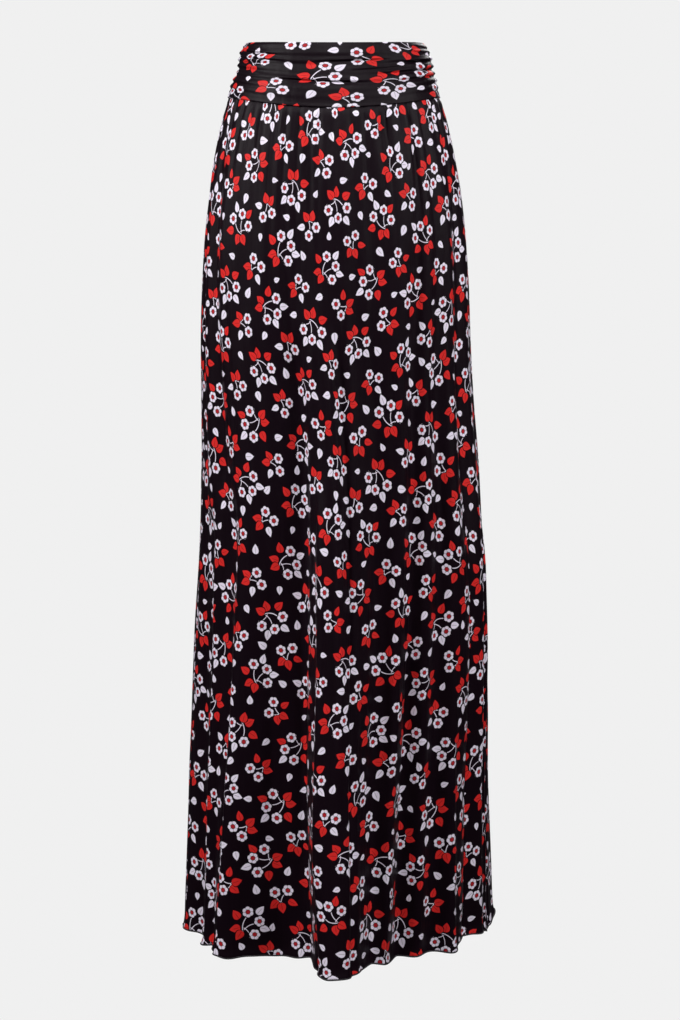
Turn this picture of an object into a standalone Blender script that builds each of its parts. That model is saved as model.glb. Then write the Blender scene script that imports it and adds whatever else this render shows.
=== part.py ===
"""Maxi skirt: a full-length gathered skirt on a wide ruched waistband, worn and hollow.

Metres, +Z up. The front faces -Y and the side seams lie in the plane Y = 0.
The origin is the middle of the waist, at half the height of the waistband.
Run with: blender --background --python part.py
"""
from collections import namedtuple

import bmesh
import bpy
import numpy as np

MM = 0.001

# The cloth
SKIRT_WALL = 1.4 * MM
BAND_WALL = 2.2 * MM
SEAM_GAP = 0.3 * MM

# Heights of the edges, at the side seams and at the middle of the front and back
BAND_TOP_SIDE = 31.0 * MM
BAND_TOP_MIDDLE = 27.0 * MM
BAND_SEAM_SIDE = -33.5 * MM
BAND_SEAM_MIDDLE = -49.0 * MM
HEM = -1086.0 * MM

# Rings round the body: half width, depth in front of and behind the side seams,
# and how far the ring sits to the wearer's left of the middle
Section = namedtuple("Section", "height half_width front_depth back_depth shift")
SECTIONS = [
    Section(34, 106.0, 78, 81, -1.0),
    Section(26, 113.5, 83, 86, -1.5),
    Section(14, 118.5, 86, 90, -1.0),
    Section(0, 120.5, 88, 93, -0.5),
    Section(-18, 127.0, 92, 99, -2.0),
    Section(-30, 129.5, 95, 104, -2.5),
    Section(-44, 132.0, 97, 107, -1.5),
    Section(-60, 137.0, 99, 110, -1.5),
    Section(-110, 148.5, 105, 118, -1.5),
    Section(-160, 156.5, 109, 124, -1.0),
    Section(-220, 163.0, 112, 128, -1.0),
    Section(-300, 167.0, 114, 128, -1.0),
    Section(-400, 170.0, 115, 125, 1.5),
    Section(-500, 174.0, 117, 124, 5.5),
    Section(-600, 178.5, 119, 126, 6.5),
    Section(-700, 183.5, 121, 130, 6.0),
    Section(-800, 186.5, 123, 134, 4.5),
    Section(-900, 189.5, 125, 138, 2.0),
    Section(-1000, 193.0, 127, 142, 2.0),
    Section(-1095, 196.0, 128, 146, 1.0),
]

# Crests and valleys round the skirt, from the left side seam through the front (0 degrees),
# the right side seam (90) and the back (180): bearing in degrees under the band, halfway
# down and at the hem, how far the cloth stands out there in mm, and how much lower the
# hem hangs in mm. Under the band every fold starts from the plain ring.
Fold = namedtuple("Fold", "top middle hem out_hip out_middle out_hem drop")
FOLDS = [
    Fold(-90, -90, -90, 0.0, 0, 0, 0),
    Fold(-82, -76, -77, -2.0, -6, -20, 0),
    Fold(-76, -63, -60, 1.5, 3, 1, 1),
    Fold(-71, -55, -55, -2.5, -6, -8, 0),
    Fold(-64, -43, -46, 3.0, 6, 22, 1),
    Fold(-45, -32, -32, 0.0, 1, 5, 0),
    Fold(-24, -23, -21, -1.5, -4, -12, 0),
    Fold(-18, -17, -10, -3.0, -9, -4, 1),
    Fold(-12, -11, -6, 0.0, 4, 50, 4),
    Fold(-4, -4, -2, 4.0, 17, 70, 6),
    Fold(3, 3, 4, 4.5, 18, 62, 6),
    Fold(9, 9, 8, 0.0, 3, 34, 3),
    Fold(16, 14, 12, -2.0, -4, 16, 1),
    Fold(34, 24, 16, 2.0, 4, 22, 2),
    Fold(41, 30, 23, -2.5, -7, -14, 0),
    Fold(47, 36, 30, 2.0, 4, 1, 1),
    Fold(53, 43, 38, -2.0, -5, -10, 0),
    Fold(62, 51, 47, 2.5, 6, 5, 1),
    Fold(70, 61, 60, -2.5, -8, -28, -1),
    Fold(78, 71, 76, 1.5, 3, -5, 0),
    Fold(84, 80, 84, -1.0, -4, -12, 0),
    Fold(90, 90, 90, 0.0, 0, -3, 0),
    Fold(100, 101, 106, 1.0, 2, 12, -3),
    Fold(112, 112, 117, -2.0, -6, -16, 0),
    Fold(124, 126, 131, 2.0, 5, 16, 1),
    Fold(135, 138, 144, -2.0, -6, -16, 0),
    Fold(147, 150, 156, 2.5, 9, 30, 2),
    Fold(158, 161, 167, -2.0, -5, -12, 0),
    Fold(168, 172, 177, 2.0, 6, 20, 1),
    Fold(180, 184, 188, -2.5, -7, -18, 0),
    Fold(192, 196, 199, 3.0, 12, 38, 3),
    Fold(203, 206, 209, -2.0, -6, -13, 0),
    Fold(214, 216, 219, 2.0, 5, 18, 1),
    Fold(225, 226, 229, -2.5, -7, -18, 0),
    Fold(236, 238, 241, 2.0, 5, 13, 1),
    Fold(248, 249, 252, -2.0, -6, -15, 0),
    Fold(259, 260, 262, 1.0, 2, 3, 0),
]
HIP_SHARE = 0.2
MIDDLE_SHARE = 0.5

# Gathers under the band: how many there are on each panel, how deep they stand,
# how far below the seam they are fullest and where they run out
GATHERS = 24
GATHER_POINTS = 4
GATHER_DEPTH = 2.4 * MM
GATHER_FULLEST = 14 * MM
GATHER_LENGTH = 150 * MM
GATHER_AT_SEAM = 0.3
GATHER_FADE = 1.5
GATHER_AT_SIDE_SEAM = -0.7

# How unevenly the gathers lie: each ripple's size, its pace from one gather to the next
# and where it starts
Ripple = namedtuple("Ripple", "size pace start")
GATHER_WIDTHS = [Ripple(0.30, 2.4, 0.0), Ripple(0.18, 5.3, 1.0)]
GATHER_DEPTHS = [Ripple(0.25, 3.7, 0.6)]
MEAN_GATHER_DEPTH = 0.75

# Creases across the band, as a share of its height, at the left side seam, the middle and
# the right side seam, and how deep each is there in mm
Crease = namedtuple("Crease", "left middle right deep_left deep_middle deep_right")
CREASES = [
    Crease(0.91, 0.92, 0.89, 1.5, 0.1, 1.3),
    Crease(0.78, 0.79, 0.79, 2.0, 0.3, 1.5),
    Crease(0.66, 0.63, 0.67, 1.7, 1.5, 1.8),
    Crease(0.54, 0.48, 0.53, 2.2, 0.3, 2.6),
    Crease(0.42, 0.33, 0.40, 1.8, 1.7, 2.0),
    Crease(0.29, 0.22, 0.27, 2.0, 0.3, 1.8),
    Crease(0.16, 0.10, 0.14, 1.3, 0.1, 1.2),
]
CREASE_HALF_HEIGHT = 0.045
CREASE_FADE = 1.7

# How finely each wall is drawn
SKIRT_DROPS_MM = [0, 8, 20, 40, 70, 110, 165, 240, 340, 450, 560, 670, 780, 880, 965, 1036]
BAND_COLUMNS = 28
BAND_ROWS = 13
RING_SAMPLES = 1201
SHARP_EDGE = np.radians(60)

COLOURS = {
    "skirt_front": (0.020, 0.015, 0.019),
    "skirt_back": (0.018, 0.014, 0.017),
    "waistband_front": (0.026, 0.020, 0.025),
    "waistband_back": (0.024, 0.018, 0.023),
}
CLOTH_ROUGHNESS = 0.62


def column(rows, name):
    """One named column of a table."""
    return np.array([getattr(row, name) for row in rows], dtype=float)


def smooth(knots, values, at):
    """A smooth curve through the knots that never swings past a crest or a valley."""
    step = np.diff(knots)
    slope = np.diff(values) / step
    inner = np.zeros(len(slope) - 1)
    same = slope[:-1] * slope[1:] > 0
    inner[same] = 2 * slope[:-1][same] * slope[1:][same] / (slope[:-1][same] + slope[1:][same])
    tangent = np.concatenate([slope[:1], inner, slope[-1:]])
    cell = np.clip(np.searchsorted(knots, at) - 1, 0, len(step) - 1)
    run = (at - knots[cell]) / step[cell]
    rise = values[cell + 1] - values[cell]
    blend = run * run * (3 - 2 * run)
    lift_start = tangent[cell] * step[cell] * run * (1 - run) ** 2
    lift_end = tangent[cell + 1] * step[cell] * run * run * (run - 1)
    return values[cell] + rise * blend + lift_start + lift_end


def round_the_body(bearings, values, at):
    """The same smooth curve, closed round the body."""
    knots = np.concatenate([bearings[-3:] - 360, bearings, bearings[:3] + 360])
    closed = np.concatenate([values[-3:], values, values[:3]])
    return smooth(knots, closed, at)


def body_ring(bearing, height):
    """Points of the plain body ring at each bearing and height, and their outward directions."""
    heights = column(SECTIONS, "height")[::-1] * MM
    half_width, front_depth, back_depth, shift = (
        smooth(heights, column(SECTIONS, name)[::-1] * MM, height)
        for name in ("half_width", "front_depth", "back_depth", "shift")
    )
    angle = np.radians(bearing)
    depth = np.where(np.cos(angle) > 0, front_depth, back_depth)
    x = shift + half_width * np.sin(angle)
    y = -depth * np.cos(angle)
    out_x = depth * np.sin(angle)
    out_y = -half_width * np.cos(angle)
    length = np.hypot(out_x, out_y)
    return x, y, out_x / length, out_y / length


def edge_height(bearing, at_side, at_middle):
    """Height of an edge that runs from the side seams to the middle of the front or back."""
    return at_side + (at_middle - at_side) * np.cos(np.radians(bearing)) ** 2


def seam_height(bearing):
    return edge_height(bearing, BAND_SEAM_SIDE, BAND_SEAM_MIDDLE)


def fold_out(bearing, share):
    """How far the folds stand out at a share of the way down the skirt."""
    levels = np.array([0, MIDDLE_SHARE, 1])
    depths = np.array([0, HIP_SHARE, MIDDLE_SHARE, 1])
    bearings = []
    outs = []
    for fold in FOLDS:
        bearings.append(smooth(levels, np.array([fold.top, fold.middle, fold.hem]), share))
        reach = np.array([0, fold.out_hip, fold.out_middle, fold.out_hem])
        outs.append(smooth(depths, reach * MM, share))
    return round_the_body(np.array(bearings).ravel(), np.array(outs).ravel(), bearing)


def skirt_ring(bearing, drop):
    """Points round the skirt at a drop below the band, with its folds."""
    seam = seam_height(bearing) - SEAM_GAP / 2
    hem_drop = round_the_body(column(FOLDS, "hem"), column(FOLDS, "drop"), bearing)
    hem = HEM - hem_drop * MM
    share = drop / (SKIRT_DROPS_MM[-1] * MM)
    height = seam + (hem - seam) * share
    x, y, out_x, out_y = body_ring(bearing, height)
    out = fold_out(bearing, np.array([share]))
    return x + out_x * out, y + out_y * out, height


def band_ring(bearing, share):
    """Points round the band at a share of its height, before its creases."""
    seam = seam_height(bearing) + SEAM_GAP / 2
    top = edge_height(bearing, BAND_TOP_SIDE, BAND_TOP_MIDDLE)
    height = seam + (top - seam) * share
    x, y, _, _ = body_ring(bearing, height)
    return x, y, height


def panel_row(ring, level, is_back, shares):
    """Points and outward directions along one panel, at shares of its length seam to seam."""
    first = 90 if is_back else -90
    bearing = np.linspace(first, first + 180, RING_SAMPLES)
    x, y, height = ring(bearing, level)
    walked = np.concatenate([[0], np.cumsum(np.hypot(np.diff(x), np.diff(y)))])
    along_x = np.gradient(x, walked)
    along_y = np.gradient(y, walked)
    at = SEAM_GAP / 2 + shares * (walked[-1] - SEAM_GAP)
    points = np.stack([np.interp(at, walked, values) for values in (x, y, height)], axis=1)
    outward = np.stack([np.interp(at, walked, along_y), -np.interp(at, walked, along_x)], axis=1)
    outward /= np.linalg.norm(outward, axis=1, keepdims=True)
    return points, np.pad(outward, ((0, 0), (0, 1)))


def rippled(mean, ripples, number):
    """An uneven size for each gather, the same on every run."""
    return mean + sum(each.size * np.sin(each.pace * number + each.start) for each in ripples)


def gather_columns(is_back):
    """Shares along a panel for the points of its uneven gathers, and the wave at each point."""
    number = np.arange(GATHERS) + (GATHERS if is_back else 0)
    widths = rippled(1, GATHER_WIDTHS, number)
    depths = rippled(MEAN_GATHER_DEPTH, GATHER_DEPTHS, number)
    edges = np.concatenate([[0], np.cumsum(widths)]) / widths.sum()
    knots = np.arange(GATHERS * GATHER_POINTS + 1) / GATHER_POINTS
    shares = np.interp(knots, np.arange(GATHERS + 1), edges)
    gather = np.minimum(knots.astype(int), GATHERS - 1)
    wave = -np.cos(2 * np.pi * knots) * depths[gather]
    wave[0] = GATHER_AT_SIDE_SEAM
    wave[-1] = GATHER_AT_SIDE_SEAM
    return shares, wave


def gather_strength(drop):
    """Share of a gather's depth at a drop below the band."""
    grown = GATHER_AT_SEAM + (1 - GATHER_AT_SEAM) * min(drop / GATHER_FULLEST, 1)
    left = max(1 - drop / GATHER_LENGTH, 0)
    return grown * left ** GATHER_FADE


def crease_depth(share, across, is_back):
    """How far the band's creases sink in at a share of its height, across a panel."""
    side = 2 * across - 1
    if is_back:
        side = -side
    sunk = np.zeros_like(side)
    for crease in CREASES:
        slant = (crease.right - crease.left) / 2
        bow = (crease.right + crease.left) / 2 - crease.middle
        line = crease.middle + slant * side + bow * side ** 2
        deep_side = np.where(side < 0, crease.deep_left, crease.deep_right)
        deep = crease.deep_middle + (deep_side - crease.deep_middle) * np.abs(side) ** CREASE_FADE
        sunk += deep * MM * np.exp(-((share - line) / CREASE_HALF_HEIGHT) ** 2)
    return sunk[:, None]


def skirt_walls(is_back):
    """Outer and inner points of a skirt panel, a row for each drop."""
    shares, wave = gather_columns(is_back)
    outer = []
    inner = []
    for drop_mm in SKIRT_DROPS_MM:
        drop = drop_mm * MM
        points, outward = panel_row(skirt_ring, drop, is_back, shares)
        gather = wave * gather_strength(drop) * GATHER_DEPTH / 2
        outer.append(points + outward * gather[:, None])
        inner.append(outer[-1] - outward * SKIRT_WALL)
    return outer, inner


def band_walls(is_back):
    """Outer and inner points of a band panel, a row for each height from the top down."""
    shares = np.linspace(0, 1, BAND_COLUMNS + 1)
    outer = []
    inner = []
    for level in np.linspace(1, 0, BAND_ROWS + 1):
        points, outward = panel_row(band_ring, level, is_back, shares)
        outer.append(points - outward * crease_depth(level, shares, is_back))
        inner.append(outer[-1] - outward * BAND_WALL)
    return outer, inner


def cloth_material(name):
    """Soft jersey in the piece's own ground colour."""
    material = bpy.data.materials.new(name + "_jersey")
    material.use_nodes = True
    shader = material.node_tree.nodes["Principled BSDF"]
    shader.inputs["Base Color"].default_value = (*COLOURS[name], 1)
    shader.inputs["Roughness"].default_value = CLOTH_ROUGHNESS
    shader.inputs["Metallic"].default_value = 0
    return material


def add_wall(name, outer, inner):
    """One closed cloth wall: the outer sheet, the inner sheet and the edges that join them."""
    shape = bmesh.new()
    sheets = []
    for rows in (outer, inner):
        sheets.append([[shape.verts.new(point) for point in row] for row in rows])
    outside, inside = sheets
    last_row = len(outside) - 1
    last_column = len(outside[0]) - 1
    for row in range(last_row):
        for place in range(last_column):
            for sheet in sheets:
                shape.faces.new((
                    sheet[row][place],
                    sheet[row + 1][place],
                    sheet[row + 1][place + 1],
                    sheet[row][place + 1],
                ))
    for row in (0, last_row):
        for place in range(last_column):
            shape.faces.new((
                outside[row][place],
                outside[row][place + 1],
                inside[row][place + 1],
                inside[row][place],
            ))
    for place in (0, last_column):
        for row in range(last_row):
            shape.faces.new((
                outside[row][place],
                outside[row + 1][place],
                inside[row + 1][place],
                inside[row][place],
            ))
    bmesh.ops.recalc_face_normals(shape, faces=shape.faces)
    mesh = bpy.data.meshes.new(name)
    shape.to_mesh(mesh)
    shape.free()
    mesh.shade_smooth()
    mesh.set_sharp_from_angle(angle=SHARP_EDGE)
    mesh.materials.append(cloth_material(name))
    piece = bpy.data.objects.new(name, mesh)
    bpy.context.collection.objects.link(piece)
    return piece


def main():
    for old in list(bpy.data.objects):
        bpy.data.objects.remove(old)
    add_wall("waistband_front", *band_walls(is_back=False))
    add_wall("waistband_back", *band_walls(is_back=True))
    add_wall("skirt_front", *skirt_walls(is_back=False))
    add_wall("skirt_back", *skirt_walls(is_back=True))


main()
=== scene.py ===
"""Maxi skirt: printed jersey gathered into a wide ruched band, worn and hollow.

Lays the finished cloth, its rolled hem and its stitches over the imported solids.
Metres, +Z up. The front faces -Y and the side seams lie in the plane Y = 0.
"""
import math
from collections import namedtuple
from functools import partial

import bpy
import numpy as np
from bpy.props import FloatProperty, FloatVectorProperty, IntProperty, PointerProperty
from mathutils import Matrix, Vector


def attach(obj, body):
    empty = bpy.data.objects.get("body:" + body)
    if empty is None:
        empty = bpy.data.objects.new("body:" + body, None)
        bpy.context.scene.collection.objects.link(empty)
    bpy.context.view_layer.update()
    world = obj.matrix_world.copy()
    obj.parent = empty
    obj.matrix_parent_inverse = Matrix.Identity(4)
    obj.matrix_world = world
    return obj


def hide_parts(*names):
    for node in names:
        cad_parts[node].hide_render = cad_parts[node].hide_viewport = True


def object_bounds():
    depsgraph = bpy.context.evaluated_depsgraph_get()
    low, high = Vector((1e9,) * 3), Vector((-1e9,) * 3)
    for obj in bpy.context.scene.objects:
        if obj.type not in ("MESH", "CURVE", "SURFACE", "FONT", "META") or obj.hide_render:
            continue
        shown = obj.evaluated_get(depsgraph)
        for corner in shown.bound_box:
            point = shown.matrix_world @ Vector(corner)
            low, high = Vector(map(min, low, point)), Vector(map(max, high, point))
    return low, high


bl_info = {
    "name": "Printed maxi skirt",
    "version": (1, 0, 0),
    "blender": (4, 5, 0),
    "location": "3D View > Sidebar > Skirt",
    "description": "Finished cloth, hem, stitches and studio for a gathered maxi skirt",
    "category": "Object",
}

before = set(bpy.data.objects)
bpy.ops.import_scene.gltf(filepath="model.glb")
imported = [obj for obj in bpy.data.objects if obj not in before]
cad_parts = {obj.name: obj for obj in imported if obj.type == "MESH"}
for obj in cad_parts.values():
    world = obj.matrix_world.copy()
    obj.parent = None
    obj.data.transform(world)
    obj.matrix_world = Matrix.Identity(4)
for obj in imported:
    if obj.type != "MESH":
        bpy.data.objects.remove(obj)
CAD_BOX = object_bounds()

MM = 0.001


def linear_colour(hex_code):
    """A colour given as sRGB hex, as linear red, green, blue and alpha."""
    parts = [int(hex_code[at:at + 2], 16) / 255 for at in (1, 3, 5)]
    linear = [
        part / 12.92 if part <= 0.04045 else ((part + 0.055) / 1.055) ** 2.4 for part in parts]
    return (*linear, 1)


# ---------------------------------------------------------------- sizes of the form
SEAM_GAP = 0.3 * MM
BAND_TOP_SIDE = 31.0 * MM
BAND_TOP_MIDDLE = 27.0 * MM
BAND_SEAM_SIDE = -33.5 * MM
BAND_SEAM_MIDDLE = -49.0 * MM
HEM = -1086.0 * MM
SKIRT_LENGTH = 1036 * MM

# Rings round the body, in mm: half width, depth in front of and behind the side seams,
# and how far the ring sits to the wearer's left of the middle
Section = namedtuple("Section", "height half_width front_depth back_depth shift")
SECTIONS = [Section(*row) for row in (
    (34, 106.0, 78, 81, -1.0),
    (26, 113.5, 83, 86, -1.5),
    (14, 118.5, 86, 90, -1.0),
    (0, 120.5, 88, 93, -0.5),
    (-18, 127.0, 92, 99, -2.0),
    (-30, 129.5, 95, 104, -2.5),
    (-44, 132.0, 97, 107, -1.5),
    (-60, 137.0, 99, 110, -1.5),
    (-110, 148.5, 105, 118, -1.5),
    (-160, 156.5, 109, 124, -1.0),
    (-220, 163.0, 112, 128, -1.0),
    (-300, 167.0, 114, 128, -1.0),
    (-400, 170.0, 115, 125, 1.5),
    (-500, 174.0, 117, 124, 5.5),
    (-600, 178.5, 119, 126, 6.5),
    (-700, 183.5, 121, 130, 6.0),
    (-800, 186.5, 123, 134, 4.5),
    (-900, 189.5, 125, 138, 2.0),
    (-1000, 193.0, 127, 142, 2.0),
    (-1095, 196.0, 128, 146, 1.0),
)]

# Crests and valleys round the skirt: bearing in degrees under the band, halfway down and at
# the hem, how far the cloth stands out in mm, and how much lower the hem hangs in mm.
# Bearings run from the left side seam (-90) through the front (0) to the back (180).
Fold = namedtuple("Fold", "top middle hem out_hip out_middle out_hem drop")
FOLDS = [Fold(*row) for row in (
    (-90, -90, -90, 0.0, 0, 0, 0),
    (-82, -76, -77, -2.0, -6, -20, 0),
    (-76, -63, -60, 1.5, 3, 1, 1),
    (-71, -55, -55, -2.5, -6, -8, 0),
    (-64, -43, -46, 3.0, 6, 22, 1),
    (-45, -32, -32, 0.0, 1, 5, 0),
    (-24, -23, -21, -1.5, -4, -12, 0),
    (-18, -17, -10, -3.0, -9, -4, 1),
    (-12, -11, -6, 0.0, 4, 50, 4),
    (-4, -4, -2, 4.0, 17, 70, 6),
    (3, 3, 4, 4.5, 18, 62, 6),
    (9, 9, 8, 0.0, 3, 34, 3),
    (16, 14, 12, -2.0, -4, 16, 1),
    (34, 24, 16, 2.0, 4, 22, 2),
    (41, 30, 23, -2.5, -7, -14, 0),
    (47, 36, 30, 2.0, 4, 1, 1),
    (53, 43, 38, -2.0, -5, -10, 0),
    (62, 51, 47, 2.5, 6, 5, 1),
    (70, 61, 60, -2.5, -8, -28, -1),
    (78, 71, 76, 1.5, 3, -5, 0),
    (84, 80, 84, -1.0, -4, -12, 0),
    (90, 90, 90, 0.0, 0, -3, 0),
    (100, 101, 106, 1.0, 2, 12, -3),
    (112, 112, 117, -2.0, -6, -16, 0),
    (124, 126, 131, 2.0, 5, 16, 1),
    (135, 138, 144, -2.0, -6, -16, 0),
    (147, 150, 156, 2.5, 9, 30, 2),
    (158, 161, 167, -2.0, -5, -12, 0),
    (168, 172, 177, 2.0, 6, 20, 1),
    (180, 184, 188, -2.5, -7, -18, 0),
    (192, 196, 199, 3.0, 12, 38, 3),
    (203, 206, 209, -2.0, -6, -13, 0),
    (214, 216, 219, 2.0, 5, 18, 1),
    (225, 226, 229, -2.5, -7, -18, 0),
    (236, 238, 241, 2.0, 5, 13, 1),
    (248, 249, 252, -2.0, -6, -15, 0),
    (259, 260, 262, 1.0, 2, 3, 0),
)]
HIP_SHARE = 0.2
MIDDLE_SHARE = 0.5

# Gathers under the band: how unevenly they lie, stand out and run down
Ripple = namedtuple("Ripple", "size pace start")
GATHERS = 24
GATHER_WIDTHS = [Ripple(0.30, 2.4, 0.0), Ripple(0.18, 5.3, 1.0)]
GATHER_DEPTHS = [Ripple(0.25, 3.7, 0.6)]
MEAN_GATHER_DEPTH = 0.75
GATHER_LENGTHS = [Ripple(0.34, 4.4, 0.9), Ripple(0.22, 1.7, 2.0)]
MEAN_GATHER_LENGTH = 190 * MM
GATHER_FULLEST = 14 * MM
GATHER_AT_SEAM = 0.45
GATHER_FADE = 1.6
GATHER_SHARPNESS = 0.7
GATHERED_CLOTH = 0.55

# Soft troughs (minus) and ridges (plus) laid between the folds: bearing where one
# starts and ends, how far below the band it starts and ends, half its width and its depth
SoftCrease = namedtuple("SoftCrease", "top bottom start end half_width depth")
SOFT_CREASES = [SoftCrease(*row) for row in (
    (-80, -74, 30, 420, 5, -1.2),
    (-68, -60, 10, 330, 4, -1.4),
    (-79, -79, 450, 1100, 14, 4.0),
    (-70, -70, 560, 1180, 24, -7.5),
    (-66, -64, 450, 1100, 16, -6.0),
    (-57, -55.5, 450, 1100, 9, 3.0),
    (-57, -52, 60, 520, 6, 1.3),
    (-54, -43, 190, 500, 5, -2.2),
    (-50, -49, 600, 1180, 8, -3.5),
    (-48, -48, 450, 1100, 13, -5.0),
    (-40, -36, 5, 210, 4, -1.3),
    (-33, -27, 90, 640, 7, 1.2),
    (-29, -25, 560, 960, 6, -1.8),
    (-25, -15, 30, 460, 5, -1.9),
    (-11, -11, 55, 190, 3.5, -1.7),
    (-16, -13, 260, 1040, 8, -3.5),
    (-9, -13, 250, 560, 5, 1.2),
    (-2, -2, 0, 150, 3, -1.6),
    (3, 5, 210, 470, 4.5, -1.9),
    (-7, -5.5, 430, 1060, 9, 8.0),
    (-6.5, -6.5, 900, 1180, 8, -4.0),
    (-2, 1, 250, 860, 5.5, 4.8),
    (1.2, 5, 250, 860, 5.5, -5.4),
    (9.5, 9, 420, 860, 8, 2.0),
    (5, 5, 760, 1180, 7, -5.0),
    (10, 11, 0, 95, 3.5, -1.5),
    (13, 12, 130, 560, 6, 1.4),
    (19, 16, 420, 880, 6, -1.7),
    (26, 23, 5, 130, 4, -1.7),
    (24, 21, 290, 520, 5, -2.0),
    (29, 25, 500, 740, 4, 1.8),
    (28, 26, 640, 900, 5, -2.0),
    (42, 35, 20, 340, 4.5, -1.9),
    (46, 44, 380, 620, 6, -1.8),
    (57, 51, 230, 480, 5, -2.0),
    (60, 60, 440, 680, 5, 1.7),
    (52, 50, 520, 1180, 10, -4.0),
    (61, 60, 430, 1180, 26, 11.0),
    (68, 66, 15, 300, 4, -1.3),
    (79, 78, 140, 620, 6, 1.2),
    (77, 77, 520, 1180, 7, -2.5),
    (84, 84, 480, 1180, 9, 6.5),
    (97, 99, 20, 420, 5, -1.5),
    (106, 109, 180, 760, 7, 1.4),
    (117, 121, 5, 260, 4, -1.7),
    (119, 124, 420, 900, 6, -1.6),
    (130, 133, 90, 600, 6, 1.5),
    (141, 145, 10, 380, 5, -1.9),
    (153, 158, 300, 820, 7, 1.4),
    (163, 166, 0, 170, 4, -1.7),
    (174, 180, 120, 640, 6, -1.8),
    (185, 189, 30, 300, 4, 1.3),
    (190, 193, 480, 940, 7, -1.7),
    (198, 202, 60, 520, 5, -1.8),
    (209, 212, 200, 700, 7, 1.5),
    (219, 222, 10, 240, 4, -1.8),
    (231, 234, 340, 860, 6, -1.6),
    (242, 245, 20, 460, 5, 1.3),
    (253, 256, 70, 560, 5, -1.6),
    (264, 263, 420, 880, 6, 1.2),
)]
CREASE_FADE_IN = 45 * MM
CREASE_FADE_OUT = 140 * MM
PLAIN_CREASE = 3
CREASE_TAKES_UP = 1.6

# Rows of points down a skirt panel: 3 mm apart under the band, 8 down the body, 3 near the hem
PANEL_ROWS = np.concatenate([
    np.arange(0, 66, 3), np.linspace(66, 970, 112), np.linspace(973, SKIRT_LENGTH / MM, 20)]) * MM
# Near a side seam creases die away, and the seam pulls the cloth in; so does the seam of the band
CREASES_END = 9 * MM
SEAM_PULL = 1.0 * MM
SEAM_PULL_WIDTH = 3.5 * MM
BAND_PULL = 1.3 * MM
BAND_PULL_HEIGHT = 7 * MM
# Where the back panel and the band pieces lie on the printed cloth, in metres
BACK_CUT_AT = 2.0
BAND_CUT_AT = 0.3

# Faint sway of the hanging cloth: waves round the skirt and down it, and their size in mm
Sway = namedtuple("Sway", "around down start size")
SWAYS = [Sway(*row) for row in (
    (9, 2.3, 0.3, 0.45),
    (14, 3.7, 1.9, 0.40),
    (23, 5.1, 4.0, 0.28),
    (31, 2.9, 2.2, 0.20),
)]
SWAY_GROWN = 120 * MM

# Flutes of the rolled hem, which the roll stretches into small waves: waves round the hem
HEM_FLUTES = [Sway(17, 0, 0.4, 0.9), Sway(29, 0, 2.2, 0.5), Sway(41, 0, 5.0, 0.3)]
FLUTE_HEIGHT = 80 * MM
FLUTE_LIFT = 0.7
# The stiff roll makes the hem flare a little, and curl up and out in places: bearing and half
# width in degrees, how far up and how far out in mm
HEM_FLARE = 1.6 * MM
HEM_FLARE_HEIGHT = 16 * MM
Curl = namedtuple("Curl", "bearing half_width up out")
HEM_CURLS = [Curl(*row) for row in (
    (66, 15, 7.5, 0.0),
    (0, 9, 4.5, 0.0),
    (104, 14, 13.0, 2.0),
    (-62, 6, 1.5, 1.5),
    (-84, 8, 3.0, 1.0),
    (131, 9, 3.0, 2.0),
    (206, 8, 2.5, 1.5),
    (246, 9, 3.0, 1.5),
)]
CURL_HEIGHT = 60 * MM

# Creases right across the band, as a share of its height at the left side seam, the middle
# and the right side seam, and how deep each is there in mm
Crease = namedtuple("Crease", "left middle right deep_left deep_middle deep_right")
CREASES = [Crease(*row) for row in (
    (0.91, 0.92, 0.89, 1.5, 0.1, 1.3),
    (0.78, 0.79, 0.79, 2.0, 0.3, 1.5),
    (0.66, 0.66, 0.67, 1.7, 0.5, 1.8),
    (0.54, 0.50, 0.53, 2.2, 0.2, 2.6),
    (0.42, 0.36, 0.40, 1.8, 0.6, 2.0),
    (0.29, 0.22, 0.27, 2.0, 0.1, 1.8),
    (0.16, 0.10, 0.14, 1.3, 0.1, 1.2),
)]
CREASE_FADE = 2.8
# Half the height of a crease as a share of the band's, and of a tuck as a share of a crease's
CREASE_HALF_HEIGHT = 0.036
TUCK_SHARE = 0.6
# The lip that swells over a crease: its size, its place and its width, in half heights
CREASE_LIP = 0.5
CREASE_LIP_AT = 1.5
CREASE_LIP_WIDTH = 0.9
# Cloth that a crease hides for each mm of its depth, and how softly it goes under
HIDDEN_CLOTH = 2.2
HIDDEN_SOFTLY = 1.5
RUCHED_AWAY = 18 * MM
# A tuck starts a little before its given ends, and runs out over a share of its length
TUCK_OVERRUN = 0.15
TUCK_RUNS_OUT = 0.4
# Columns and rows of each band piece; its folded top edge is level and its foot stands out a
# little over the skirt, each over a share of the band's height
BAND_COLUMNS = 240
BAND_ROWS = 96
BAND_SEAM_PULL = 1.2 * MM
BAND_SEAM_PULL_WIDTH = 3 * MM
BAND_TOP_SHARE = 0.03
BAND_TOP_CREASED = 0.35
BAND_FOOT_OUT = 0.5 * MM
BAND_FOOT_SHARE = 0.06

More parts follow.
